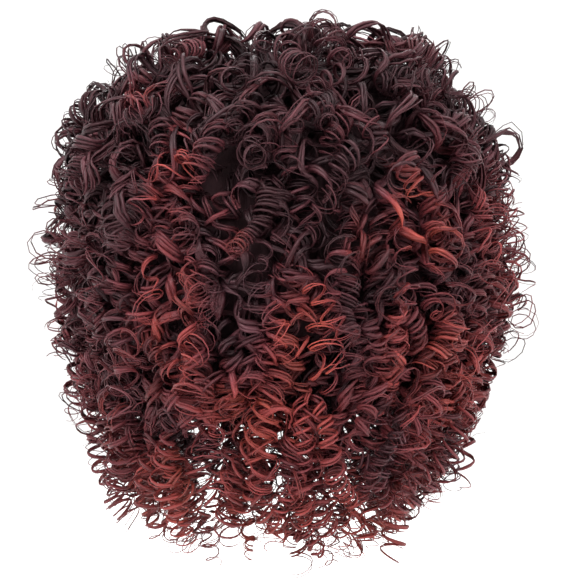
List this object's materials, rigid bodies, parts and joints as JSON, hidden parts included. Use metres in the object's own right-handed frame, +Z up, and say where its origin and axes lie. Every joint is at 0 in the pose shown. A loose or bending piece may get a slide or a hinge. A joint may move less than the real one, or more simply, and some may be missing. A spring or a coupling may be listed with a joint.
{
  "type": "afro wig",
  "caption": "Full shoulder-length curly wig: spiral ringlets on an open stretch cap, dark at the crown and red towards the ends, as worn.",
  "frame": {"origin": "where the crown of the wearer's head seats, at the top of the hollow inside the cap", "axes": "+Z up, +Y the way that the wearer's face looks, +X to the wearer's right"},
  "size_m": [0.3237, 0.2979, 0.3454],
  "materials": {
    "cap_net": "matte",
    "dark_hair": "satin",
    "red_hair": "satin"
  },
  "bodies": {
    "root": {"wig_cap": "cap_net", "fringe": "dark_hair", "side_hair_right": "red_hair", "back_hair_right": "red_hair", "back_hair_middle": "red_hair", "back_hair_left": "red_hair", "side_hair_left": "red_hair"}
  },
  "joints": []
}
